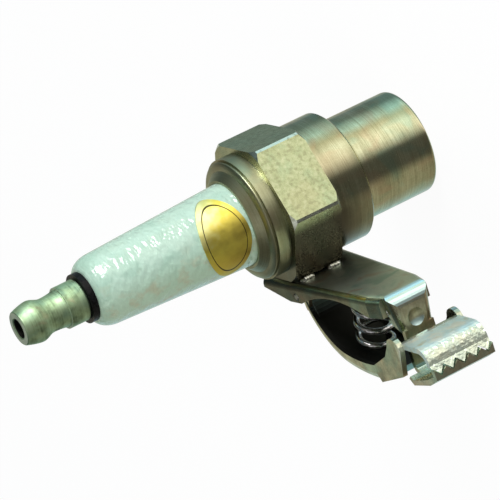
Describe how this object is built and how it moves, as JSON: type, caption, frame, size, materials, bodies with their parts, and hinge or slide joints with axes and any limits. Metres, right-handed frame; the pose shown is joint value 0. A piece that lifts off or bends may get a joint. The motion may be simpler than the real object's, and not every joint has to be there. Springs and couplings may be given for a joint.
{
  "type": "spark plug tester",
  "caption": "Ignition tester: a plug with a plain open barrel in place of its thread, and a sprung toothed ground clip welded to its hexagon.",
  "frame": {"origin": "centre of the barrel's rim, where the spark chamber opens", "axes": "+Z along the plug's axis towards the terminal; the clip is welded to the flat facing -X and its jaws point to -Y"},
  "size_m": [0.0336, 0.0509, 0.0673],
  "materials": {
    "shell_steel": "yellow plated, turned",
    "insulator": "glazed",
    "gold_foil": "gold foil with an oval border line",
    "terminal_brass": "satin",
    "black_washer": "matt",
    "plain_steel": "satin",
    "seal_glass": "fired glass and metal powder",
    "electrode_nickel": "satin",
    "copper": "bare",
    "talc": "pressed powder",
    "clip_steel": "plated, pressed",
    "weld_metal": "bright",
    "spring_steel": "drawn wire"
  },
  "bodies": {
    "tester": {"metal_shell": "shell_steel", "insulator": "insulator", "oval_label": "gold_foil", "terminal_nut": "terminal_brass", "terminal_washer": "black_washer", "terminal_stud": "plain_steel", "glass_seal": "seal_glass", "center_electrode": "electrode_nickel", "electrode_core": "copper", "lower_packing_ring": "plain_steel", "talc_seal": "talc", "upper_packing_ring": "plain_steel", "seat_gasket": "copper", "fixed_jaw": "clip_steel", "weld_beads": "weld_metal", "pivot_pin": "plain_steel", "clip_spring": "spring_steel"},
    "handle": {"moving_jaw": "clip_steel"}
  },
  "joints": [
    {"name": "jaw_hinge", "type": "hinge", "parent": "tester", "child": "handle", "pos_m": [-0.0125, -0.0052, 0.0214], "axis": [0, 0, 1], "range_deg": [0, 12], "stiffness_Nm_per_rad": 0.15, "springref_deg": -40.11, "deforming": ["clip_spring"]}
  ]
}
